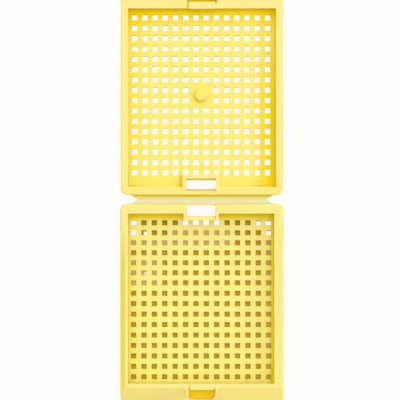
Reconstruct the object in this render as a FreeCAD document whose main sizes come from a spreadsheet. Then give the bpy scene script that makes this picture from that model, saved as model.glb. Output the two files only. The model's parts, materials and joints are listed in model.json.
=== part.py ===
"""Tissue cassette: one yellow moulding of a perforated tray and lid joined by a living hinge.

Millimetres, +Z up. The cassette lies open and flat, with the lid towards +Y. The origin is on the
surface that the tray stands on, at the centre of the open cassette's footprint. Inside each body the
sketches measure Y from the hinge line, and the body's Placement shifts that line to its place.
"""

import FreeCAD, Part
import os
import Sketcher

SIZES = (
    # the whole cassette; core_shift moves the holes, the peg and the windows away from its middle
    ("width", 28.5),
    ("rim_height", 5.0),
    ("plate", 0.85),
    ("edge_round", 0.3),
    ("hinge_gap", 1.56),
    ("core_shift", -0.15),
    # tray: floor, walls and sloped front
    ("tray_flare", 0.08),
    ("tray_corner", 1.1),
    ("floor_lift", 0.6),
    ("tray_rear_wall", 1.68),
    ("tray_pocket_width", 25.66),
    ("tray_pocket_length", 29.85),
    ("front_wall", 0.7),
    ("slope_run", 6.5),
    ("slope_skin", 1.1),
    ("toe_height", 0.5),
    ("skirt", 1.0),
    ("front_wall_foot", 1.1),
    # tray: outer edge of the side walls, which leans down towards the front
    ("raised_rim", 0.6),
    ("edge_drop", 0.5),
    ("edge_start", 2.1),
    ("edge_full", 11.5),
    # tray: window beside the hinge, with its two cheeks and its strap
    ("window_width", 5.16),
    ("tray_window_end", 2.17),
    ("window_lip", 0.28),
    ("tray_cheek", 0.49),
    ("cheek_tail", 0.15),
    ("strap_length", 0.68),
    ("strap_height", 1.4),
    ("strap_notch_width", 0.55),
    ("strap_notch_depth", 0.2),
    # tray: latch recess in the slope, its lip and its two ribs
    ("recess_width", 4.72),
    ("recess_length", 2.09),
    ("recess_depth", 2.6),
    ("recess_corner", 0.45),
    ("recess_floor", 0.85),
    ("lip_width", 4.2),
    ("lip_reach", 0.3),
    ("lip_height", 0.35),
    ("lip_rise", 0.12),
    ("rib_width", 0.42),
    ("rib_run", 1.35),
    # tray: holes, whose rows are closer together towards the hinge
    ("tray_hole_width", 0.95),
    ("tray_hole_length", 0.9),
    ("tray_columns", 14),
    ("tray_pitch", 1.849),
    ("tray_rear_rows", 6),
    ("tray_rear_pitch", 1.779),
    ("tray_front_rows", 10),
    ("tray_front_pitch", 1.859),
    ("tray_first_row", 1.69),
    # lid: plate, rims and finger lip
    ("lid_corner", 1.3),
    ("lid_depth", 1.25),
    ("lid_rear_wall", 1.38),
    ("lid_pocket_width", 25.9),
    ("lid_pocket_length", 31.34),
    ("finger_lip", 3.08),
    ("finger_bevel_run", 1.6),
    ("finger_bevel_rise", 1.0),
    # lid: window beside the hinge and the box round it
    ("lid_window_start", 0.77),
    ("lid_window_length", 2.14),
    ("window_taper", 0.3),
    ("lid_box_wall", 0.7),
    ("lid_box_drop", 0.08),
    ("lid_sill_drop", 0.06),
    # lid: latch bar at the free end, with a slot beyond it
    ("bar_width", 4.6),
    ("bar_clearance", 0.05),
    ("bar_length", 1.22),
    ("bar_rise", 0.5),
    ("bar_bevel", 0.25),
    ("bar_root", 0.4),
    ("slot_width", 5.25),
    ("slot_start", 0.88),
    ("slot_length", 0.85),
    ("slot_floor", 1.2),
    # lid: holes, peg and the marks beside the rear corners
    ("lid_hole_width", 0.93),
    ("lid_hole_length", 0.98),
    ("lid_columns", 14),
    ("lid_pitch", 1.801),
    ("lid_rows", 16),
    ("lid_row_pitch", 1.821),
    ("lid_first_row", 2.57),
    ("peg_radius", 1.12),
    ("peg_height", 1.05),
    ("peg_crown", 0.35),
    ("relief_length", 2.1),
    ("relief_width", 0.45),
    ("relief_depth", 0.1),
    ("pad_length", 1.25),
    ("pad_width", 1.7),
    ("pad_rise", 0.08),
    ("pad_inset_left", 0.1),
    ("pad_inset_right", 2.3),
    ("pad_inset_rear", 0.3),
    # hinge film
    ("film_drop", 0.6),
    ("film_root", 0.45),
    ("film_middle", 0.22),
    ("film_fold", 0.5),
    ("film_width", 25.0),
    ("film_notch", 1.3),
)

OVER = "1"  # how far a cutting sketch runs past the face that it opens

# Places that several features share, as expressions of the sheet's cells
LID_HALF = "(size.width / 2)"
TRAY_HALF = "(size.width / 2 + size.tray_flare)"
RIM = "size.rim_height"
FLOOR = "(size.floor_lift + size.plate)"
TRAY_DEPTH = f"(size.rim_height - {FLOOR})"
TRAY_REAR = "(-size.hinge_gap / 2)"
POCKET_REAR = f"({TRAY_REAR} - size.tray_rear_wall)"
POCKET_FRONT = f"({POCKET_REAR} - size.tray_pocket_length)"
POCKET_HALF = "(size.tray_pocket_width / 2)"
SLOPE_TOP = f"({POCKET_FRONT} - size.front_wall)"
TOE = f"({SLOPE_TOP} - size.slope_run)"
SLOPE_RATIO = "((size.rim_height - size.toe_height) / size.slope_run)"
HOLLOW_REAR = f"({POCKET_FRONT} - size.front_wall_foot)"
WINDOW_HALF = "(size.window_width / 2)"
STRAP_REAR = f"({TRAY_REAR} - size.tray_window_end)"
STRAP_FRONT = f"({STRAP_REAR} - size.strap_length)"
LIP_TIP = f"({SLOPE_TOP} - size.lip_reach)"
RIB_HEIGHT = f"(size.rib_run * {SLOPE_RATIO} + size.slope_skin / 4)"

LID_REAR = "(size.hinge_gap / 2)"
LID_THICKNESS = "(size.lid_depth + size.plate)"
LID_UNDERSIDE = f"(size.rim_height - {LID_THICKNESS})"
LID_FLOOR = "(size.rim_height - size.lid_depth)"
LID_POCKET_REAR = f"({LID_REAR} + size.lid_rear_wall)"
LID_POCKET_FRONT = f"({LID_POCKET_REAR} + size.lid_pocket_length)"
LID_TIP = f"({LID_POCKET_FRONT} + size.finger_lip)"
LID_WINDOW_REAR = f"({LID_REAR} + size.lid_window_start)"
LID_WINDOW_FRONT = f"({LID_WINDOW_REAR} + size.lid_window_length)"
LID_BOX_FRONT = f"({LID_WINDOW_FRONT} + size.lid_box_wall)"
LID_BOX_HALF = f"({WINDOW_HALF} + size.lid_box_wall)"
BAR_REAR = f"(-{LIP_TIP} + size.bar_clearance)"
BAR_FRONT = f"({BAR_REAR} + size.bar_length)"
LID_FIRST_ROW = f"({LID_POCKET_REAR} + size.lid_first_row)"
PEG_CENTRE = f"({LID_FIRST_ROW} + size.lid_row_pitch * (size.lid_rows - 1) / 2)"

FILM_TOP = "(size.rim_height - size.film_drop)"
FILM_UNDERSIDE = f"({FILM_TOP} - size.film_root)"

doc = FreeCAD.newDocument("tissue_cassette")


def make_sheet():
    """The spreadsheet of driving dimensions, one named cell each."""
    sheet = doc.addObject("Spreadsheet::Sheet", "size")
    for row, (name, value) in enumerate(SIZES, start=1):
        sheet.set(f"A{row}", name)
        sheet.set(f"B{row}", str(value))
        sheet.setAlias(f"B{row}", name)
    return sheet


def make_body(label):
    """A body whose hinge line lies where the centre of the footprint leaves it."""
    body = doc.addObject("PartDesign::Body", label)
    body.Label = label
    body.setExpression("Placement.Base.y", f"-({TOE} + {LID_TIP}) / 2")
    return body


def make_sketch(body, name, role, offset="0"):
    """An empty sketch on one of the body's own origin planes, moved along its normal."""
    sketch = body.newObject("Sketcher::SketchObject", name)
    plane = [f for f in body.Origin.OriginFeatures if f.Role == role][0]
    sketch.AttachmentSupport = [(plane, "")]
    sketch.MapMode = "FlatFace"
    sketch.setExpression("AttachmentOffset.Base.z", offset)
    return sketch


def place_point(sketch, item, end, x, y):
    """Holds a line's end or a circle's centre at x and y, both expressions."""
    for kind, expression in (("DistanceX", x), ("DistanceY", y)):
        number = sketch.addConstraint(
            Sketcher.Constraint(kind, -1, 1, item, end, float(sketch.evalExpression(expression)))
        )
        sketch.setExpression(f"Constraints[{number}]", expression)


def add_polygon(sketch, corners):
    """A closed outline whose corners are pairs of expressions, listed in order."""
    values = [
        tuple(float(sketch.evalExpression(part)) for part in corner) for corner in corners
    ]
    first = sketch.GeometryCount
    count = len(corners)
    for index, start in enumerate(values):
        end = values[(index + 1) % count]
        sketch.addGeometry(
            Part.LineSegment(FreeCAD.Vector(*start, 0), FreeCAD.Vector(*end, 0))
        )
    for index, (x, y) in enumerate(corners):
        line = first + index
        following = first + (index + 1) % count
        sketch.addConstraint(Sketcher.Constraint("Coincident", line, 2, following, 1))
        place_point(sketch, line, 1, x, y)


def add_rectangle(sketch, x_low, x_high, y_low, y_high):
    """A rectangle between four expressions."""
    add_polygon(
        sketch, ((x_low, y_low), (x_high, y_low), (x_high, y_high), (x_low, y_high))
    )


def extrude(body, kind, name, sketch, length, reverse=False, both_ways=False):
    """A Pad or a Pocket of a sketch, with its length an expression."""
    feature = body.newObject(f"PartDesign::{kind}", name)
    feature.Profile = sketch
    feature.Type = "Length"
    feature.SideType = "Symmetric" if both_ways else "One side"
    feature.Reversed = reverse
    feature.setExpression("Length", length)
    sketch.Visibility = False
    return feature


def pad_down(body, name, top, length, x_low, x_high, y_low, y_high):
    """A block below the level top."""
    sketch = make_sketch(body, f"{name}_outline", "XY_Plane", top)
    add_rectangle(sketch, x_low, x_high, y_low, y_high)
    return extrude(body, "Pad", name, sketch, length, reverse=True)


def cut_down(body, name, top, length, x_low, x_high, y_low, y_high):
    """A rectangular pocket below the level top."""
    sketch = make_sketch(body, f"{name}_outline", "XY_Plane", top)
    add_rectangle(sketch, x_low, x_high, y_low, y_high)
    return extrude(body, "Pocket", name, sketch, length)


def across(body, kind, name, width, corners, middle="0"):
    """A Pad or a Pocket of a side profile, corners in Y and Z, that is centred on X = middle."""
    sketch = make_sketch(body, f"{name}_profile", "YZ_Plane", middle)
    add_polygon(sketch, corners)
    return extrude(body, kind, name, sketch, width, both_ways=True)


def mirror_in_x(body, name, *originals):
    """The same features on the other side of the body's own middle."""
    feature = body.newObject("PartDesign::Mirrored", name)
    feature.Originals = list(originals)
    plane = [f for f in body.Origin.OriginFeatures if f.Role == "YZ_Plane"][0]
    feature.MirrorPlane = (plane, [""])
    body.Tip = feature
    return feature


def round_corners(body, prefix, base):
    """Rounds the four upright edges of a plain block, then the whole outline of its top."""
    doc.recompute()
    upright = [
        f"Edge{number}"
        for number, edge in enumerate(base.Shape.Edges, start=1)
        if abs(edge.tangentAt(edge.FirstParameter).z) > 0.99
    ]
    corners = body.newObject("PartDesign::Fillet", f"{prefix}_corners")
    corners.Base = (base, upright)
    corners.setExpression("Radius", f"size.{prefix}_corner")
    doc.recompute()
    outline = [
        f"Edge{number}"
        for number, edge in enumerate(corners.Shape.Edges, start=1)
        if edge.BoundBox.ZMin > corners.Shape.BoundBox.ZMax - 0.01
    ]
    feature = body.newObject("PartDesign::Fillet", f"{prefix}_top_edges")
    feature.Base = (corners, outline)
    feature.setExpression("Radius", "size.edge_round")
    return feature


def hole_grid(body, prefix, name, top, first_y, rows, row_pitch, towards_rear):
    """Rectangular holes in columns centred on core_shift and rows that start at first_y."""
    half_width = f"size.{prefix}_hole_width / 2"
    half_length = f"size.{prefix}_hole_length / 2"
    span = f"size.{prefix}_pitch * (size.{prefix}_columns - 1)"
    first_x = f"size.core_shift - {span} / 2"
    hole = cut_down(
        body, f"{name}_hole", top, "size.plate",
        f"{first_x} - {half_width}", f"{first_x} + {half_width}",
        f"{first_y} - {half_length}", f"{first_y} + {half_length}",
    )
    grid = body.newObject("PartDesign::LinearPattern", f"{name}_hole_grid")
    grid.Originals = [hole]
    grid.Direction = (hole.Profile[0], ["H_Axis"])
    grid.Direction2 = (hole.Profile[0], ["V_Axis"])
    grid.Reversed2 = towards_rear
    grid.setExpression("Length", span)
    grid.setExpression("Length2", f"{row_pitch} * ({rows} - 1)")
    grid.setExpression("Occurrences", f"size.{prefix}_columns")
    grid.setExpression("Occurrences2", rows)
    body.Tip = grid


def slope_height(y):
    """Height of the sloped front face above the ground at y."""
    return f"({RIM} - ({SLOPE_TOP} - {y}) * {SLOPE_RATIO})"


def slope_place(height):
    """Where the sloped front face stands at a height."""
    return f"({SLOPE_TOP} - ({RIM} - {height}) / {SLOPE_RATIO})"


def make_tray_shell(body):
    """Block, sloped front, pocket, raised floor and the hollow under the slope."""
    block = pad_down(
        body, "tray_block", RIM, RIM, f"-{TRAY_HALF}", TRAY_HALF, TOE, TRAY_REAR
    )
    round_corners(body, "tray", block)
    across(
        body, "Pocket", "front_slope", f"2 * {TRAY_HALF} + {OVER}",
        (
            (SLOPE_TOP, RIM),
            (TOE, "size.toe_height"),
            (f"{TOE} - {OVER}", "size.toe_height"),
            (f"{TOE} - {OVER}", f"{RIM} + {OVER}"),
            (SLOPE_TOP, f"{RIM} + {OVER}"),
        ),
    )
    cut_down(
        body, "tray_pocket", RIM, TRAY_DEPTH,
        f"size.core_shift - {POCKET_HALF}", f"size.core_shift + {POCKET_HALF}",
        POCKET_FRONT, POCKET_REAR,
    )
    cut_down(
        body, "floor_recess", "size.floor_lift", "size.floor_lift",
        f"-({TRAY_HALF} - size.skirt)", f"{TRAY_HALF} - size.skirt",
        POCKET_FRONT, f"{TRAY_REAR} - size.skirt",
    )
    roof = f"({slope_height(HOLLOW_REAR)} - size.slope_skin)"
    across(
        body, "Pocket", "slope_hollow", f"2 * ({TRAY_HALF} - size.skirt)",
        (
            (HOLLOW_REAR, f"-{OVER}"),
            (slope_place("size.slope_skin"), f"-{OVER}"),
            (slope_place("size.slope_skin"), "0"),
            (HOLLOW_REAR, roof),
        ),
    )


def make_tray_edges(body):
    """The outer part of each side wall's top, level at the rear and leaning outwards to the front."""
    inner = f"({POCKET_HALF} + size.raised_rim)"
    slope = f"size.edge_drop / ({TRAY_HALF} - {inner})"
    sections = []
    for name, distance, share in (
        ("start", f"{TRAY_REAR} - size.edge_start", "0"),
        ("full", f"{TRAY_REAR} - size.edge_full", "1"),
        ("end", f"{slope_place(f'({RIM} - size.edge_drop)')} - {OVER}", "1"),
    ):
        sketch = make_sketch(body, f"edge_{name}", "XZ_Plane", f"-({distance})")
        outer = f"({TRAY_HALF} + {OVER})"
        add_polygon(
            sketch,
            (
                (inner, RIM),
                (outer, f"{RIM} - {share} * {slope} * ({outer} - {inner})"),
                (outer, f"{RIM} + {OVER}"),
                (inner, f"{RIM} + {OVER}"),
            ),
        )
        sections.append(sketch)
    edge = body.newObject("PartDesign::SubtractiveLoft", "leaning_edge")
    edge.Profile = sections[0]
    edge.Sections = sections[1:]
    edge.Ruled = True
    mirror_in_x(body, "leaning_edges", edge)


def make_tray_latch(body):
    """The recess in the slope that the lid's bar drops into, with its lip and its two ribs."""
    width = "size.recess_width"
    block_foot = f"({RIM} - size.recess_depth - size.recess_floor)"
    across(
        body, "Pad", "recess_block", f"{width} + 2 * size.plate",
        (
            (f"{HOLLOW_REAR} + {OVER} / 2", block_foot),
            (slope_place(f"({block_foot} + size.slope_skin / 2)"), block_foot),
            (f"{HOLLOW_REAR} + {OVER} / 2", f"{slope_height(HOLLOW_REAR)} - size.slope_skin / 2"),
        ),
    )
    sketch = make_sketch(body, "latch_recess_outline", "XY_Plane", RIM)
    end = f"({SLOPE_TOP} - size.recess_length)"
    narrow = f"({width} / 2 - 1.5 * size.recess_corner)"
    add_polygon(
        sketch,
        (
            (f"-{width} / 2", SLOPE_TOP),
            (f"-{width} / 2", f"{end} + size.recess_corner"),
            (f"-{narrow}", f"{end} - size.recess_corner / 2"),
            (narrow, f"{end} - size.recess_corner / 2"),
            (f"{width} / 2", f"{end} + size.recess_corner"),
            (f"{width} / 2", SLOPE_TOP),
        ),
    )
    extrude(body, "Pocket", "latch_recess", sketch, "size.recess_depth")
    rib = pad_down(
        body, "latch_rib", RIM, RIB_HEIGHT,
        f"{width} / 2", f"{width} / 2 + size.rib_width",
        f"{SLOPE_TOP} - size.rib_run", f"{SLOPE_TOP} + size.front_wall / 2",
    )
    mirror_in_x(body, "latch_ribs", rib)
    pad_down(
        body, "latch_lip", f"{RIM} + size.lip_rise", "size.lip_height + size.lip_rise",
        "-size.lip_width / 2", "size.lip_width / 2", LIP_TIP, POCKET_FRONT,
    )


def make_tray_window(body):
    """The opening beside the hinge, two cheeks that flank it and the strap across their ends."""
    left = f"(size.core_shift - {WINDOW_HALF})"
    right = f"(size.core_shift + {WINDOW_HALF})"
    for side, low in (("left", f"{left} - size.tray_cheek"), ("right", right)):
        pad_down(
            body, f"{side}_cheek", RIM, TRAY_DEPTH, low, f"{low} + size.tray_cheek",
            f"{STRAP_FRONT} - size.cheek_tail", f"{POCKET_REAR} + size.tray_rear_wall / 2",
        )
    cut_down(
        body, "window", RIM, RIM, left, right, STRAP_REAR, f"{TRAY_REAR} - size.window_lip"
    )
    for name, top, depth in (
        ("window_above_film", RIM, "size.film_drop"),
        ("window_below_film", FILM_UNDERSIDE, FILM_UNDERSIDE),
    ):
        cut_down(body, name, top, depth, left, right, STRAP_REAR, f"{TRAY_REAR} + {OVER}")
    pad_down(
        body, "window_strap", RIM, "size.strap_height", left, right, STRAP_FRONT, STRAP_REAR
    )
    cut_down(
        body, "strap_notch", RIM, "size.strap_notch_depth",
        f"{right} - size.strap_notch_width", right, STRAP_FRONT, STRAP_REAR,
    )


def make_tray():
    """The tray, which the cassette stands on."""
    body = make_body("tray")
    make_tray_shell(body)
    make_tray_edges(body)
    make_tray_latch(body)
    make_tray_window(body)
    first = f"({POCKET_REAR} - size.tray_first_row)"
    middle = f"({first} - size.tray_rear_pitch * size.tray_rear_rows)"
    for name, y in (("rear", first), ("front", middle)):
        hole_grid(
            body, "tray", name, FLOOR, y, f"size.tray_{name}_rows", f"size.tray_{name}_pitch", True
        )
    return body


def make_lid_shell(body):
    """Plate, rims and the finger lip, which is bevelled on the face that is uppermost when shut."""
    block = pad_down(
        body, "lid_block", RIM, LID_THICKNESS, f"-{LID_HALF}", LID_HALF, LID_REAR, LID_TIP
    )
    round_corners(body, "lid", block)
    cut_down(
        body, "lid_pocket", RIM, "size.lid_depth",
        "-size.lid_pocket_width / 2", "size.lid_pocket_width / 2",
        LID_POCKET_REAR, LID_POCKET_FRONT,
    )
    across(
        body, "Pocket", "finger_bevel", f"size.width + {OVER}",
        (
            (f"{LID_TIP} - size.finger_bevel_run", LID_UNDERSIDE),
            (LID_TIP, f"{LID_UNDERSIDE} + size.finger_bevel_rise"),
            (f"{LID_TIP} + {OVER}", f"{LID_UNDERSIDE} + size.finger_bevel_rise"),
            (f"{LID_TIP} + {OVER}", f"{LID_UNDERSIDE} - {OVER}"),
            (f"{LID_TIP} - size.finger_bevel_run", f"{LID_UNDERSIDE} - {OVER}"),
        ),
    )


def make_lid_peg(body):
    """The peg in the middle of the plate, rounded at its top."""
    sketch = make_sketch(body, "peg_outline", "XY_Plane", f"{LID_FLOOR} - size.plate / 2")
    sketch.addGeometry(Part.Circle(FreeCAD.Vector(-1, 20, 0), FreeCAD.Vector(0, 0, 1), 1))
    place_point(sketch, 0, 3, "size.core_shift", PEG_CENTRE)
    radius = sketch.addConstraint(Sketcher.Constraint("Radius", 0, 1.0))
    sketch.setExpression(f"Constraints[{radius}]", "size.peg_radius")
    peg = extrude(body, "Pad", "peg", sketch, "size.peg_height + size.plate / 2")
    doc.recompute()
    circles = [
        (edge.BoundBox.ZMin, f"Edge{number}")
        for number, edge in enumerate(peg.Shape.Edges, start=1)
        if edge.Closed
    ]
    crown = body.newObject("PartDesign::Fillet", "peg_crown")
    crown.Base = (peg, [max(circles)[1]])
    crown.setExpression("Radius", "size.peg_crown")


def make_lid_patch(body):
    """The solid patch under the peg, in place of the four middle holes."""
    pad_down(
        body, "peg_patch", LID_FLOOR, "size.plate",
        "size.core_shift - size.lid_pitch", "size.core_shift + size.lid_pitch",
        f"{PEG_CENTRE} - size.lid_row_pitch", f"{PEG_CENTRE} + size.lid_row_pitch",
    )


def make_lid_window(body):
    """The box round the opening beside the hinge, and the opening, which narrows downwards."""
    pad_down(
        body, "window_box", f"{RIM} - size.lid_box_drop", f"{LID_THICKNESS} - size.lid_box_drop",
        f"size.core_shift - {LID_BOX_HALF}", f"size.core_shift + {LID_BOX_HALF}",
        LID_WINDOW_REAR, LID_BOX_FRONT,
    )
    across(
        body, "Pocket", "lid_window", "size.window_width",
        (
            (f"{LID_WINDOW_REAR} + size.window_taper", LID_UNDERSIDE),
            (f"{LID_WINDOW_FRONT} - size.window_taper", LID_UNDERSIDE),
            (LID_WINDOW_FRONT, RIM),
            (LID_WINDOW_REAR, RIM),
        ),
        "size.core_shift",
    )
    cut_down(
        body, "window_sill", RIM, "size.lid_sill_drop",
        f"size.core_shift - {WINDOW_HALF}", f"size.core_shift + {WINDOW_HALF}",
        f"{LID_REAR} - {OVER}", LID_WINDOW_REAR,
    )


def make_lid_latch(body):
    """The raised bar that drops into the tray's recess, and the slot beyond it."""
    cut_down(
        body, "latch_slot", RIM, f"{LID_THICKNESS} - size.slot_floor",
        "-size.slot_width / 2", "size.slot_width / 2",
        f"{LID_POCKET_FRONT} + size.slot_start",
        f"{LID_POCKET_FRONT} + size.slot_start + size.slot_length",
    )
    across(
        body, "Pad", "latch_bar", "size.bar_width",
        (
            (BAR_REAR, f"{RIM} - size.bar_root"),
            (BAR_FRONT, f"{RIM} - size.bar_root"),
            (BAR_FRONT, f"{RIM} + size.bar_rise - size.bar_bevel"),
            (f"{BAR_FRONT} - size.bar_bevel", f"{RIM} + size.bar_rise"),
            (BAR_REAR, f"{RIM} + size.bar_rise"),
        ),
    )


def make_lid_marks(body):
    """Shallow reliefs in the side rims at the rear, and two low pads on the plate."""
    inner = "size.lid_pocket_width / 2"
    sketch = make_sketch(body, "rim_relief_outline", "XY_Plane", RIM)
    add_polygon(
        sketch,
        (
            (inner, LID_POCKET_REAR),
            (f"{inner} + size.relief_width", LID_POCKET_REAR),
            (inner, f"{LID_POCKET_REAR} + size.relief_length"),
            (f"{inner} - {OVER} / 4", f"{LID_POCKET_REAR} + size.relief_length"),
            (f"{inner} - {OVER} / 4", LID_POCKET_REAR),
        ),
    )
    relief = extrude(body, "Pocket", "rim_relief", sketch, "size.relief_depth")
    mirror_in_x(body, "rim_reliefs", relief)
    rear = f"{LID_POCKET_REAR} + size.pad_inset_rear"
    for side, low in (
        ("left", f"-{inner} + size.pad_inset_left"),
        ("right", f"{inner} - size.pad_inset_right - size.pad_width"),
    ):
        pad_down(
            body, f"plate_pad_{side}", f"{LID_FLOOR} + size.pad_rise", "size.pad_rise + size.plate / 2",
            low, f"{low} + size.pad_width", rear, f"{rear} + size.pad_length",
        )


def make_lid():
    """The lid, which turns about the hinge line."""
    body = make_body("lid")
    make_lid_shell(body)
    make_lid_window(body)
    make_lid_latch(body)
    make_lid_marks(body)
    make_lid_peg(body)
    hole_grid(
        body, "lid", "lid", LID_FLOOR, LID_FIRST_ROW, "size.lid_rows", "size.lid_row_pitch", False
    )
    make_lid_patch(body)
    return body


def make_film():
    """The thin web between the two rear walls, thinnest at the fold, with a notch at each end."""
    body = make_body("hinge_film")
    across(
        body, "Pad", "film", "size.film_width",
        (
            (TRAY_REAR, FILM_TOP),
            (TRAY_REAR, FILM_UNDERSIDE),
            ("-size.film_fold / 2", f"{FILM_TOP} - size.film_middle"),
            ("size.film_fold / 2", f"{FILM_TOP} - size.film_middle"),
            (LID_REAR, FILM_UNDERSIDE),
            (LID_REAR, FILM_TOP),
        ),
    )
    sketch = make_sketch(body, "end_notch_outline", "XY_Plane", f"{FILM_TOP} + {OVER}")
    edge = "size.film_width / 2"
    add_polygon(
        sketch,
        (
            (f"{edge} - size.film_notch", "0"),
            (edge, TRAY_REAR),
            (f"{edge} + {OVER}", TRAY_REAR),
            (f"{edge} + {OVER}", LID_REAR),
            (edge, LID_REAR),
        ),
    )
    notch = extrude(body, "Pocket", "end_notch", sketch, f"size.film_root + 2 * {OVER}")
    mirror_in_x(body, "end_notches", notch)
    return body


def check(bodies):
    """Stops before anything is written if an object failed or a sub-part isn't one valid solid."""
    failed = [o.Label for o in doc.Objects if {"Invalid", "Error"} & set(o.State)]
    if failed:
        raise RuntimeError(f"these objects failed: {failed}")
    for body in bodies:
        shape = body.Shape
        if shape.isNull() or not shape.isValid() or len(shape.Solids) != 1:
            raise RuntimeError(f"{body.Label} isn't one valid solid")


make_sheet()
doc.recompute()
parts = [make_tray(), make_lid(), make_film()]
doc.recompute()
check(parts)
os.makedirs("parts", exist_ok=True)
for part in parts:
    part.Shape.exportStep(f"parts/{part.Label}.step")
    box = part.Shape.BoundBox
    print(
        f"{part.Label}: {part.Shape.Volume:.2f} mm3, {len(part.Shape.Faces)} faces,"
        f" x {box.XMin:.2f} to {box.XMax:.2f}, y {box.YMin:.2f} to {box.YMax:.2f},"
        f" z {box.ZMin:.2f} to {box.ZMax:.2f}"
    )
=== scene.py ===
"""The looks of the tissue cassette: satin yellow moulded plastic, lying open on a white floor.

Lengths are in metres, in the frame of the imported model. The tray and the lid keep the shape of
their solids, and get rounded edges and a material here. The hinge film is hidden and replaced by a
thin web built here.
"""

import json
import math

import bpy
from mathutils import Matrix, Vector

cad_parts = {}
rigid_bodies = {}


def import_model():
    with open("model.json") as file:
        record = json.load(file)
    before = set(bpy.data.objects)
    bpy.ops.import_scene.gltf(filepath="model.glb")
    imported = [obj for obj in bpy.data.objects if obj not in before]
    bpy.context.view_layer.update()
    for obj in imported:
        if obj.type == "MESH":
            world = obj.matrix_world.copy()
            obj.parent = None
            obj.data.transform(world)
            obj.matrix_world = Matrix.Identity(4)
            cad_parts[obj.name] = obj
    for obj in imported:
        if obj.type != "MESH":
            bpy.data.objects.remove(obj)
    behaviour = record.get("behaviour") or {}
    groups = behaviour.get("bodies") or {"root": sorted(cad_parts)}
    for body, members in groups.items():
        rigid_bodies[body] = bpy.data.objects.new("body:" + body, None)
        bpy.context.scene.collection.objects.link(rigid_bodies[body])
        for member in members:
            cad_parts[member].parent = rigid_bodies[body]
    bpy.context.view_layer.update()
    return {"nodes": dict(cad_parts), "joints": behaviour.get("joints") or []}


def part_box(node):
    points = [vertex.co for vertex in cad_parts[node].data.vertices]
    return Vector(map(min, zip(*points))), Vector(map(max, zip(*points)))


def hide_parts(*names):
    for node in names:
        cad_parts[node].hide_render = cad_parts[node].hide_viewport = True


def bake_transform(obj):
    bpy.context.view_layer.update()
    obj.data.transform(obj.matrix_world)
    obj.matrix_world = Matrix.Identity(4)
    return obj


MM = 0.001

for leftover in list(bpy.data.objects):
    bpy.data.objects.remove(leftover)
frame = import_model()

TRAY_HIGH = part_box("tray")[1]
LID_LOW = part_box("lid")[0]
FILM_LOW, FILM_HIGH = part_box("hinge_film")
HINGE_Y = (TRAY_HIGH.y + LID_LOW.y) / 2
AXIS_ABOVE_RIM = 0.05 * MM
RIM_Z = frame["joints"][0]["pos_m"][2] - AXIS_ABOVE_RIM
TRAY_FLOOR_Z = 1.45 * MM
LID_FLOOR_Z = RIM_Z - 1.25 * MM
EDGE_ROUND = 0.07 * MM

# The tray's sloped face: where it leaves the rim, its fall, and half the width of its latch recess
SLOPE_TOP = TRAY_HIGH.y - 32.23 * MM
SLOPE_RATIO = 4.5 / 6.5
RECESS_HALF = 2.5 * MM

# The light: the world's level, how much stronger it is on one side, and the way to that side
WORLD_LEVEL = 0.866
WORLD_TILT = 0.25
SOFT_LIGHT = Vector((0.64, 0.58, 0.5)).normalized()

# Painted light on the ground under the tray: a weak painted glow, standing in for light through
# the plastic, and painted light spots for places where light gets in, with middle x, middle y from
# the tray's rear edge, half sizes and strength
PAINTED_GLOW = 0.1
LEAK_EDGE = 0.15 * MM
PAINTED_LIGHT_SPOTS = (
    (-0.26 * MM, -2.08 * MM, 3.5 * MM, 1.9 * MM, 1.0),
    (-12.2 * MM, -4.37 * MM, 0.75 * MM, 1.4 * MM, 1.0),
    (-10.0 * MM, -5.35 * MM, 0.45 * MM, 0.4 * MM, 1.0),
    (11.1 * MM, -3.56 * MM, 1.5 * MM, 0.5 * MM, 1.0),
    (12.0 * MM, -5.35 * MM, 0.6 * MM, 0.5 * MM, 1.0),
    (-10.0 * MM, -12.6 * MM, 0.45 * MM, 0.5 * MM, 0.7),
    (-0.2 * MM, -6.0 * MM, 5.2 * MM, 1.6 * MM, 0.3),
    (-9.3 * MM, -6.9 * MM, 3.6 * MM, 0.7 * MM, 0.3),
    (-9.9 * MM, -12.3 * MM, 3.0 * MM, 2.8 * MM, 0.3),
    (11.9 * MM, -18.5 * MM, 0.8 * MM, 13.0 * MM, 0.2),
)

# Painted shade along the walls of a pocket, laid on its floor: axis, foot, way to the floor,
# reach, curve of the fading, and the strength at two places along the wall. A wall of strength 0
# only bounds the pocket.
TRAY_WALL_PAINTED_SHADE = (
    ("Y", TRAY_HIGH.y - 1.68 * MM, -1, 1.5 * MM, 1.3, (-1.0, 1.3), (1.0, 1.3)),
    ("Y", TRAY_HIGH.y - 31.53 * MM, 1, 1.2 * MM, 1.3, (-1.0, 0.15), (1.0, 0.15)),
    ("X", -12.98 * MM, 1, 1.0 * MM, 1.3, (-1.0, 0.4), (1.0, 0.4)),
    ("X", 12.68 * MM, -1, 0.95 * MM, 1.3, (-34 * MM, 1.1), (-3 * MM, 0.9)),
)
LID_WALL_PAINTED_SHADE = (
    ("Y", LID_LOW.y + 1.38 * MM, 1, 1.0 * MM, 2.0, (-1.0, 0.0), (1.0, 0.0)),
    ("Y", LID_LOW.y + 32.72 * MM, -1, 4.6 * MM, 1.5, (-12 * MM, 1.1), (12 * MM, 0.85)),
    ("X", -12.95 * MM, 1, 4.2 * MM, 0.8, (-1.0, 0.33), (1.0, 0.33)),
    ("X", 12.95 * MM, -1, 4.2 * MM, 1.0, (18 * MM, 1.0), (33 * MM, 0.4)),
)


# ---------------------------------------------------------------- node helpers


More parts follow.
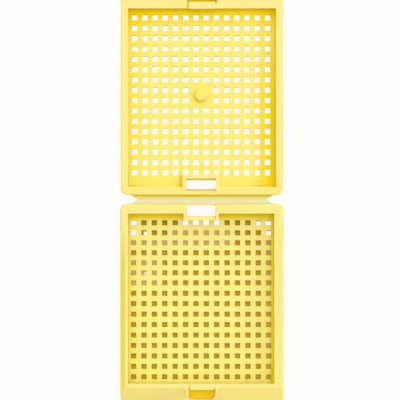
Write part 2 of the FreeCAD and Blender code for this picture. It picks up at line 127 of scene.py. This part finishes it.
class Nodes:
    """A short way to write the node tree of a material or of the world."""

    def __init__(self, owner):
        owner.use_nodes = True
        self.tree = owner.node_tree
        self.tree.nodes.clear()

    def add(self, kind, inputs=None, **settings):
        node = self.tree.nodes.new(f"ShaderNode{kind}")
        for key, value in settings.items():
            setattr(node, key, value)
        for key, value in (inputs or {}).items():
            socket = node.inputs[key]
            if isinstance(value, bpy.types.NodeSocket):
                self.tree.links.new(value, socket)
            else:
                socket.default_value = value
        return node

    def math(self, operation, *values, clamp=False):
        node = self.add("Math", dict(enumerate(values)), operation=operation, use_clamp=clamp)
        return node.outputs[0]

    def ramp(self, value, low, high):
        """0 below low, 1 above high, straight between."""
        node = self.add(
            "MapRange", {"Value": value, "From Min": low, "From Max": high}, clamp=True
        )
        return node.outputs["Result"]

    def blend_colours(self, factor, first, second):
        """A Mix node has sockets for each type of data: 6 and 7 in and 2 out are its colours."""
        node = self.add("Mix", {0: factor, 6: first, 7: second}, data_type="RGBA")
        return node.outputs[2]


def srgb(red, green, blue):
    """A colour written as a screen shows it, as the linear colour that a shader takes."""
    def linear(value):
        value /= 255
        return value / 12.92 if value <= 0.04045 else ((value + 0.055) / 1.055) ** 2.4

    return (linear(red), linear(green), linear(blue), 1.0)


# The rims are painted paler than the low colours below them, a painted sheen
RIM_YELLOW = srgb(251, 234, 138)
RIM_YELLOW_BY_HINGE = srgb(251, 232, 124)
# The sloped face is painted a deeper yellow, a painted shade as it turns from the light
SLOPE_PAINTED_SHADE_YELLOW = srgb(255, 232, 127)
# A painted highlight on rounded edges
PAINTED_HIGHLIGHT_YELLOW = srgb(255, 247, 196)
TRAY_END_YELLOW = srgb(251, 240, 128)
TRAY_HINGE_YELLOW = srgb(252, 240, 138)
LID_YELLOW = srgb(249, 234, 106)
FILM_YELLOW = srgb(238, 230, 178)
# A painted tint on the ground under the tray, standing in for light coloured by the plastic
PAINTED_TINT_UNDER_TRAY = srgb(232, 211, 48)
# The colour of a painted glow on the ground under the tray
PAINTED_GLOW_COLOUR = (1.0, 0.65, 0.09, 1.0)
WHITE = (1.0, 1.0, 1.0, 1.0)
PAPER = (0.9, 0.9, 0.9, 1.0)


def make_painted_wall_shade(n, place, floor_z, walls):
    """Painted shade: the light the walls of a pocket take from its floor, 0 outside the pocket."""
    total = 0.0
    inside = 1.0
    for axis, foot, way, reach, curve, first, second in walls:
        depth = n.math("MULTIPLY", n.math("SUBTRACT", place[axis], foot), way)
        inside = n.math("MULTIPLY", n.ramp(depth, -0.6 * MM, -0.2 * MM), inside)
        along = n.add(
            "MapRange",
            {
                "Value": place["Y" if axis == "X" else "X"],
                "From Min": first[0], "From Max": second[0],
                "To Min": first[1], "To Max": second[1],
            },
            clamp=True,
        ).outputs["Result"]
        fading = n.math("POWER", n.ramp(depth, reach, 0.0), curve)
        total = n.math("MULTIPLY_ADD", fading, along, total)
    below_rim = n.ramp(place["Z"], RIM_Z - 0.15 * MM, RIM_Z - 0.5 * MM)
    not_under = n.ramp(place["Z"], floor_z - 0.6 * MM, floor_z - 0.2 * MM)
    in_pocket = n.math("MULTIPLY", inside, n.math("MULTIPLY", below_rim, not_under))
    return n.math("MULTIPLY", total, in_pocket)


def make_painted_slope_shade(n, place, facing):
    """Painted shade in the tray's latch recess and two leaning edges, and where the slope is.

    In the recess it goes by the depth under the sloped face. The leaning edges are the strips
    beside the raised rim, of which the left one turns away from the light.
    """
    past_top = n.math("SUBTRACT", SLOPE_TOP, place["Y"])
    below = n.math(
        "SUBTRACT", n.math("MULTIPLY_ADD", past_top, -SLOPE_RATIO, RIM_Z), place["Z"]
    )
    inside = n.math(
        "MULTIPLY",
        n.ramp(n.math("ABSOLUTE", place["X"]), RECESS_HALF + 0.15 * MM, RECESS_HALF),
        n.ramp(past_top, 0.0, 0.05 * MM),
    )
    strength = n.math("MULTIPLY_ADD", n.ramp(past_top, 0.2 * MM, 2.2 * MM), -0.45, 1.0)
    recess = n.math(
        "MULTIPLY", n.math("MULTIPLY", n.ramp(below, 0.15 * MM, 0.5 * MM), inside), strength
    )
    # Painted shade on the leaning edges, more on the left one, which turns away from the light
    turned = n.add("SeparateXYZ", {"Vector": facing}).outputs
    left = n.math("MULTIPLY", n.ramp(turned["X"], -0.1, -0.5), 0.5)
    by_the_rim = n.ramp(place["X"], 13.95 * MM, 13.45 * MM)
    turned_right = n.ramp(turned["X"], 0.05, 0.3)
    right = n.math("MULTIPLY", n.math("MULTIPLY", turned_right, by_the_rim), 0.35)
    high = n.ramp(place["Z"], RIM_Z - 0.8 * MM, RIM_Z - 0.6 * MM)
    leaning = n.math("MULTIPLY", n.ramp(turned["Z"], 0.3, 0.6), high)
    edge = n.math("MULTIPLY", n.math("MAXIMUM", left, right), leaning)
    return n.math("MAXIMUM", recess, edge), n.ramp(past_top, 0.0, 0.3 * MM)


def make_plastic(name, rim, low, low_z, reach, losses, floor_z=0.0, walls=(), sloped=False):
    """Satin moulded plastic, rim coloured at the height of the rims and low coloured below low_z.

    rim and low have the colours at the free end and at the hinge; the rims' paler colour is a
    painted sheen. reach is how far away a wall still gives painted shade. The shade is painted
    into
    the colour: where it falls the red is lowered and the green and the blue are raised to a higher
    power, so the yellow turns darker gold, standing in for light that takes on the plastic's
    colour again at every bounce. losses has the strength of that for red, green and blue. A face
    that looks down gets none of the painted shade, and edges get a painted highlight, paler
    yellow.
    """
    material = bpy.data.materials.new(name)
    n = Nodes(material)
    position = n.add("TexCoord").outputs["Object"]
    place = n.add("SeparateXYZ", {"Vector": position}).outputs
    cloud = n.add("TexNoise", {"Vector": position, "Scale": 130.0, "Detail": 2.0}).outputs["Fac"]
    grain = n.add("TexNoise", {"Vector": position, "Scale": 5200.0, "Detail": 3.0}).outputs["Fac"]
    from_hinge = n.math("ABSOLUTE", n.math("SUBTRACT", place["Y"], HINGE_Y))
    low_colour = n.blend_colours(n.ramp(from_hinge, 32 * MM, 4 * MM), *low)
    rim_colour = n.blend_colours(n.ramp(from_hinge, 3.5 * MM, 2.0 * MM), *rim)
    # Painted sheen: by height the colour turns from the low colours to the paler rims
    height = n.ramp(place["Z"], low_z, RIM_Z - 0.05 * MM)
    colour = n.blend_colours(height, low_colour, rim_colour)
    facing = n.add("NewGeometry").outputs["Normal"]
    if sloped:
        painted_slope_shade, on_slope = make_painted_slope_shade(n, place, facing)
    # Painted shade: an ambient occlusion taken towards the side of SOFT_LIGHT, near walls
    towards_light = n.add("CombineXYZ", dict(zip("XYZ", SOFT_LIGHT))).outputs[0]
    open_sky = n.add(
        "AmbientOcclusion", {"Distance": reach, "Normal": towards_light}, samples=24
    ).outputs["AO"]
    flat_and_open = (1 + SOFT_LIGHT.z) / 2
    shade = n.ramp(open_sky, flat_and_open - 0.05, 0.3)
    # Sloped face: a deeper yellow as painted shade, in place of most of the occlusion shade
    if sloped:
        outside_recess = n.math("SUBTRACT", on_slope, painted_slope_shade, clamp=True)
        colour = n.blend_colours(outside_recess, colour, SLOPE_PAINTED_SHADE_YELLOW)
        shade = n.math("MULTIPLY", shade, n.math("MULTIPLY_ADD", on_slope, -0.75, 1.0))
        shade = n.math("MAXIMUM", shade, painted_slope_shade)
    # Painted shade along the walls of a pocket
    if walls:
        shade = n.math("MAXIMUM", shade, make_painted_wall_shade(n, place, floor_z, walls))
    tint = n.math("MULTIPLY", n.ramp(cloud, 0.35, 0.65), 0.12)
    colour = n.blend_colours(tint, colour, rim_colour)
    # Faces that look down get no painted shade
    upward = n.add("SeparateXYZ", {"Vector": facing}).outputs["Z"]
    not_underneath = n.ramp(upward, -0.3, -0.1)
    shade = n.math("MULTIPLY", n.math("MINIMUM", shade, 1.0), not_underneath)
    # lit is where there is no painted shade; it also scales the specular reflection
    lit = n.math("SUBTRACT", 1.0, shade)
    # The painted shade in the colour: red lowered, green and blue raised to a higher power
    parts = n.add("SeparateColor", {"Color": colour}).outputs
    red_loss, green_loss, blue_loss = losses
    red = n.math("MULTIPLY", parts["Red"], n.math("MULTIPLY_ADD", shade, -red_loss, 1.0))
    green = n.math("POWER", parts["Green"], n.math("MULTIPLY_ADD", shade, green_loss, 1.0))
    deep = n.math("MULTIPLY", shade, shade)
    blue = n.math("POWER", parts["Blue"], n.math("MULTIPLY_ADD", deep, blue_loss, 1.0))
    colour = n.add(
        "CombineColor", {"Red": red, "Green": green, "Blue": blue}
    ).outputs[0]
    # Painted highlight: where the Bevel node rounds an edge the colour turns paler, less in
    # painted shade
    rounded = n.add("Bevel", {"Radius": 0.2 * MM}, samples=6).outputs[0]
    turn = n.add("VectorMath", {0: rounded, 1: facing}, operation="DOT_PRODUCT").outputs["Value"]
    edge = n.math("MULTIPLY", n.ramp(turn, 0.99, 0.88), n.math("MULTIPLY", lit, 0.7))
    colour = n.blend_colours(edge, colour, PAINTED_HIGHLIGHT_YELLOW)
    relief = n.math("ADD", n.math("MULTIPLY", grain, 0.7), n.math("MULTIPLY", cloud, 0.3))
    bump = n.add("Bump", {"Height": relief, "Strength": 0.25, "Distance": 0.02 * MM})
    shader = n.add(
        "BsdfPrincipled",
        {
            "Base Color": colour,
            "Roughness": n.math("ADD", n.math("MULTIPLY", grain, 0.12), 0.38),
            "Normal": bump.outputs["Normal"],
            "Specular IOR Level": n.math("MULTIPLY", lit, 0.45),
            "Subsurface Weight": 0.3,
            "Subsurface Radius": (1.0, 0.7, 0.12),
            "Subsurface Scale": 0.5 * MM,
        },
    )
    n.add("OutputMaterial", {"Surface": shader.outputs[0]})
    return material


def make_floor_material():
    """White to the camera where the floor lies open, and real shading close under the tray.

    Close under the tray the floor's colour is a painted tint, for light through the plastic, with
    a painted warm light on top, and painted light spots make it white in listed places. The last
    part of the white is left out in the open too, so the floor keeps a faint shadow.
    """
    material = bpy.data.materials.new("white_floor")
    n = Nodes(material)
    light_path = n.add("LightPath").outputs
    seen = n.math(
        "MAXIMUM",
        light_path["Is Camera Ray"],
        n.math("MAXIMUM", light_path["Is Glossy Ray"], light_path["Is Transmission Ray"]),
    )
    open_sky = n.add("AmbientOcclusion", {"Distance": 2.4 * MM}, samples=16).outputs["AO"]
    openness = n.ramp(open_sky, 0.4, 0.5)
    position = n.add("TexCoord").outputs["Object"]
    place = n.add("SeparateXYZ", {"Vector": position}).outputs
    # Painted light spots: in the listed places the floor counts as open, so it shows white
    for x, y, half_x, half_y, strength in PAINTED_LIGHT_SPOTS:
        away_x = n.math("ABSOLUTE", n.math("SUBTRACT", place["X"], x))
        away_y = n.math("ABSOLUTE", n.math("SUBTRACT", place["Y"], TRAY_HIGH.y + y))
        painted_light_spot = n.math(
            "MULTIPLY",
            n.ramp(away_x, half_x + LEAK_EDGE, half_x - LEAK_EDGE),
            n.ramp(away_y, half_y + LEAK_EDGE, half_y - LEAK_EDGE),
        )
        openness = n.math("MAXIMUM", openness, n.math("MULTIPLY", painted_light_spot, strength))
    # Painted tint: close under the tray the floor's colour turns yellow, for light through the
    # plastic
    floor_colour_with_painted_tint = n.blend_colours(n.ramp(open_sky, 0.5, 0.9), PAINTED_TINT_UNDER_TRAY, PAPER)
    shaded = n.add("BsdfDiffuse", {"Color": floor_colour_with_painted_tint})
    # Where the floor is not open, the white it shows turns to a painted glow
    white = n.add("Emission", {"Color": n.blend_colours(openness, PAINTED_GLOW_COLOUR, WHITE)})
    # How strong the painted glow is, fading in from the tray's rear edge
    glow = n.math(
        "MULTIPLY", n.ramp(place["Y"], TRAY_HIGH.y - 3 * MM, TRAY_HIGH.y - 8 * MM), PAINTED_GLOW
    )
    share = n.math("MULTIPLY", seen, n.math("MAXIMUM", n.math("MULTIPLY", openness, 0.93), glow))
    mixed = n.add("MixShader", {0: share, 1: shaded.outputs[0], 2: white.outputs[0]})
    n.add("OutputMaterial", {"Surface": mixed.outputs[0]})
    return material


# ---------------------------------------------------------------- pieces


def dress(name, material):
    """Rounds a CAD node's edges and gives it its material."""
    piece = frame["nodes"][name]
    weld = piece.modifiers.new("weld", "WELD")
    weld.merge_threshold = 0.001 * MM
    flat = piece.modifiers.new("flat_faces", "DECIMATE")
    flat.decimate_type = "DISSOLVE"
    flat.angle_limit = math.radians(1)
    bevel = piece.modifiers.new("rounded_edges", "BEVEL")
    bevel.width = EDGE_ROUND
    bevel.segments = 2
    bevel.limit_method = "ANGLE"
    bevel.angle_limit = math.radians(40)
    bevel.harden_normals = True
    for index in range(len(piece.data.materials)):
        piece.data.materials[index] = material


def make_film(material):
    """The living hinge: a thin web with a groove along its fold and a notch at each end."""
    stations = 21
    top = FILM_HIGH.z
    root = FILM_HIGH.z - FILM_LOW.z
    middle = 0.22 * MM
    fold = 0.25 * MM
    reach = (FILM_HIGH.y - FILM_LOW.y) / 2
    half_width = FILM_HIGH.x
    notch = 1.3 * MM
    points = []
    faces = []
    columns = 40
    for i in range(stations):
        y = -reach + 2 * reach * i / (stations - 1)
        away = abs(y) / reach
        half = half_width - notch * (1 - away)
        thin = max(0.0, (abs(y) - fold) / (reach - fold))
        thick = middle + (root - middle) * thin
        for j in range(columns + 1):
            x = -half + 2 * half * j / columns
            points.append((x, HINGE_Y + y, top))
        for j in range(columns + 1):
            x = half - 2 * half * j / columns
            points.append((x, HINGE_Y + y, top - thick))
    ring = 2 * (columns + 1)
    for i in range(stations - 1):
        for j in range(ring):
            a = i * ring + j
            b = i * ring + (j + 1) % ring
            faces.append((a, a + ring, b + ring, b))
    faces.append(tuple(range(ring)))
    faces.append(tuple(reversed(range((stations - 1) * ring, stations * ring))))
    mesh = bpy.data.meshes.new("living_hinge")
    mesh.from_pydata(points, [], faces)
    mesh.update()
    mesh.shade_smooth()
    piece = bpy.data.objects.new("living_hinge", mesh)
    bpy.context.scene.collection.objects.link(piece)
    piece.data.materials.append(material)
    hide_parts("hinge_film")
    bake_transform(piece)


# ---------------------------------------------------------------- stage, light, camera


def make_floor():
    bpy.ops.mesh.primitive_plane_add(size=1.2, location=(0, 0, -0.02 * MM))
    floor = bpy.context.object
    floor.name = "floor"
    floor.data.materials.append(make_floor_material())


def make_world():
    """White light from all round, a little stronger from the side of SOFT_LIGHT."""
    world = bpy.data.worlds.new("studio")
    bpy.context.scene.world = world
    n = Nodes(world)
    way = n.add("TexCoord").outputs["Generated"]
    tilt = (WORLD_TILT * SOFT_LIGHT.x, WORLD_TILT * SOFT_LIGHT.y, 0.0)
    side = n.add("VectorMath", {0: way, 1: tilt}, operation="DOT_PRODUCT").outputs["Value"]
    level = n.math("MULTIPLY_ADD", side, WORLD_LEVEL, WORLD_LEVEL)
    fill = n.add("Background", {"Color": WHITE, "Strength": level})
    n.add("OutputWorld", {"Surface": fill.outputs[0]})


def make_key_light():
    """A weak, wide sun, nearly overhead."""
    lamp = bpy.data.lights.new("key", "SUN")
    lamp.energy = 0.5
    lamp.angle = math.radians(25)
    key = bpy.data.objects.new("key", lamp)
    bpy.context.scene.collection.objects.link(key)
    towards_light = Vector((0.05, 0.25, 1.0))
    key.rotation_euler = towards_light.to_track_quat("Z", "Y").to_euler()


def make_camera():
    """Straight down, from almost exactly above the middle of the hinge."""
    above_rims = 220 * MM
    data = bpy.data.cameras.new("camera")
    data.sensor_width = 36
    data.lens = 113.1
    data.clip_start = 0.01
    camera = bpy.data.objects.new("camera", data)
    bpy.context.scene.collection.objects.link(camera)
    camera.location = (-0.35 * MM, HINGE_Y - 0.09 * MM, RIM_Z + above_rims)
    bpy.context.scene.camera = camera


tray_plastic = make_plastic(
    "acetal_tray",
    rim=(RIM_YELLOW, RIM_YELLOW),
    low=(TRAY_END_YELLOW, TRAY_HINGE_YELLOW),
    low_z=2.0 * MM,
    reach=1.0 * MM,
    losses=(0.08, 1.2, 3.6),
    floor_z=TRAY_FLOOR_Z,
    walls=TRAY_WALL_PAINTED_SHADE,
    sloped=True,
)
lid_plastic = make_plastic(
    "acetal_lid",
    rim=(RIM_YELLOW, RIM_YELLOW_BY_HINGE),
    low=(LID_YELLOW, LID_YELLOW),
    low_z=4.82 * MM,
    reach=1.4 * MM,
    losses=(0.075, 1.05, 3.5),
    floor_z=LID_FLOOR_Z,
    walls=LID_WALL_PAINTED_SHADE,
)
thin_plastic = make_plastic(
    "acetal_thin",
    rim=(FILM_YELLOW, FILM_YELLOW),
    low=(FILM_YELLOW, FILM_YELLOW),
    low_z=0.0,
    reach=1.2 * MM,
    losses=(0.1, 0.9, 3.5),
)
dress("tray", tray_plastic)
dress("lid", lid_plastic)
make_film(thin_plastic)
make_floor()
make_world()
make_key_light()
make_camera()
bpy.context.scene.view_settings.view_transform = "Standard"
bpy.context.scene.cycles.diffuse_bounces = 12
